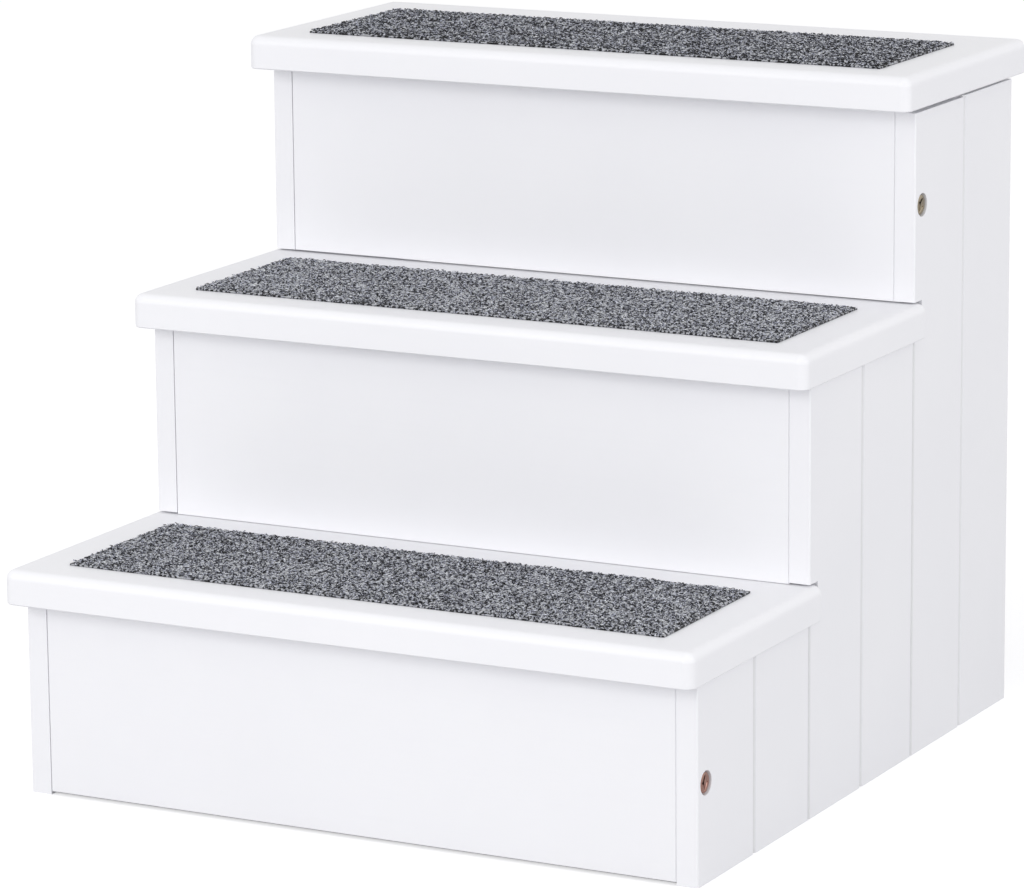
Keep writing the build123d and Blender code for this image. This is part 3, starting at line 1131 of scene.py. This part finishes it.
class STAIRS_OT_make_bolts(bpy.types.Operator):
    """Make the bolts with round heads, cross recesses and threads"""

    bl_idname = "stairs.make_bolts"
    bl_label = "Make bolts"

    def execute(self, context):
        sizes = context.scene.stairs_fasteners
        colours = sizes.bolt_colours.split()
        values = {
            "Head Diameter": sizes.bolt_head,
            "Head Height": sizes.bolt_head_height,
            "Shank Diameter": sizes.bolt_shank,
            "Thread Length": sizes.bolt_thread,
            "Pitch": sizes.bolt_pitch,
            "Recess Width": sizes.bolt_recess,
            "Recess Depth": sizes.bolt_recess_depth,
            "Turn": sizes.bolt_turn,
            "Seed": sizes.seed,
            "Material": plated_steel("yellow_passivated_zinc", colours, 0.3, 1.2 * MM),
        }
        make_fasteners(
            "machine_bolts",
            "riser_bolts",
            bolt_tree(),
            to_the_middle,
            values,
            rise=sizes.bolt_head_rise,
        )
        return {"FINISHED"}


class STAIRS_OT_make_nuts_and_screws(bpy.types.Operator):
    """Make the slotted barrel nuts and the countersunk screws"""

    bl_idname = "stairs.make_nuts_and_screws"
    bl_label = "Make nuts and screws"

    def execute(self, context):
        sizes = context.scene.stairs_fasteners
        steel = plated_steel("bright_zinc", sizes.steel_colours.split(), 0.35, 4.0 * MM)
        low, high = solid_boxes("barrel_nuts")[0]
        values = {
            "Diameter": sizes.nut_diameter,
            "Bore Place": (high.y - low.y) / 2,
            "Bore Diameter": sizes.nut_bore,
            "Slot Width": sizes.nut_slot,
            "Slot Depth": sizes.nut_slot,
            "Ease": sizes.ease,
            "Turn": 0.0,
            "Seed": sizes.seed,
            "Material": steel,
        }
        make_fasteners(
            "slotted_barrel_nuts", "barrel_nuts", nut_tree(), to_the_front, values
        )
        values = {
            "Head Diameter": sizes.screw_head,
            "Shank Diameter": sizes.screw_shank,
            "Thread Length": sizes.screw_thread,
            "Pitch": sizes.screw_pitch,
            "Tip Length": sizes.screw_tip,
            "Recess Width": sizes.screw_recess,
            "Recess Depth": sizes.screw_recess / 2,
            "Turn": math.tau,
            "Seed": sizes.seed,
            "Material": steel,
        }
        tree = screw_tree()
        for name, node_name, way in (
            ("wood_screws_in_treads", "tread_screws", upward),
            ("wood_screws_in_rails", "back_rail_screws", to_the_front),
        ):
            make_fasteners(name, node_name, tree, way, values)
        return {"FINISHED"}


class STAIRS_OT_make_dowels(bpy.types.Operator):
    """Make the fluted dowels at the ends of the risers"""

    bl_idname = "stairs.make_dowels"
    bl_label = "Make dowels"

    def execute(self, context):
        sizes = context.scene.stairs_fasteners
        values = {
            "Diameter": sizes.dowel_diameter,
            "Flute Depth": sizes.flute_depth,
            "Ease": sizes.ease,
            "Turn": math.tau,
            "Seed": sizes.seed,
            "Material": bare_beech(sizes.beech_colours.split()),
        }
        make_fasteners(
            "fluted_dowels", "riser_dowels", dowel_tree(), to_the_middle, values
        )
        return {"FINISHED"}


class STAIRS_OT_build_stage(bpy.types.Operator):
    """Set the floor, the soft lights, the world and the camera"""

    bl_idname = "stairs.build_stage"
    bl_label = "Build stage"

    def execute(self, context):
        stage = context.scene.stairs_stage
        add_floor(stage)
        add_softbox("front_softbox", (-0.6, -2.6, 1.0), (2.6, 1.6), stage.front_power)
        add_softbox("right_softbox", (2.6, -0.2, 0.8), (2.6, 1.2), stage.right_power)
        add_world(stage)
        add_camera(stage)
        context.scene.view_settings.view_transform = "Standard"
        return {"FINISHED"}


OPERATORS = (
    STAIRS_OT_paint_side_panels,
    STAIRS_OT_paint_battens,
    STAIRS_OT_paint_boards,
    STAIRS_OT_make_carpets,
    STAIRS_OT_make_bolts,
    STAIRS_OT_make_nuts_and_screws,
    STAIRS_OT_make_dowels,
    STAIRS_OT_build_stage,
)


class STAIRS_PT_panel(bpy.types.Panel):
    """Lists the steps that dress the stairs"""

    bl_idname = "STAIRS_PT_panel"
    bl_label = "Pet stairs"
    bl_space_type = "VIEW_3D"
    bl_region_type = "UI"
    bl_category = "Pet stairs"

    def draw(self, context):
        for operator in OPERATORS:
            self.layout.operator(operator.bl_idname)


SETTINGS = {
    "stairs_paint": PaintSettings,
    "stairs_carpet": CarpetSettings,
    "stairs_fasteners": FastenerSettings,
    "stairs_stage": StageSettings,
}


def register():
    for kind in (*SETTINGS.values(), *OPERATORS, STAIRS_PT_panel):
        bpy.utils.register_class(kind)
    for name, group in SETTINGS.items():
        setattr(bpy.types.Scene, name, PointerProperty(type=group))


def unregister():
    for name in SETTINGS:
        delattr(bpy.types.Scene, name)
    for kind in (STAIRS_PT_panel, *reversed(OPERATORS), *SETTINGS.values()):
        bpy.utils.unregister_class(kind)


def main():
    register()
    for operator in OPERATORS:
        group, name = operator.bl_idname.split(".")
        getattr(getattr(bpy.ops, group), name)()


if __name__ == "__main__":
    main()
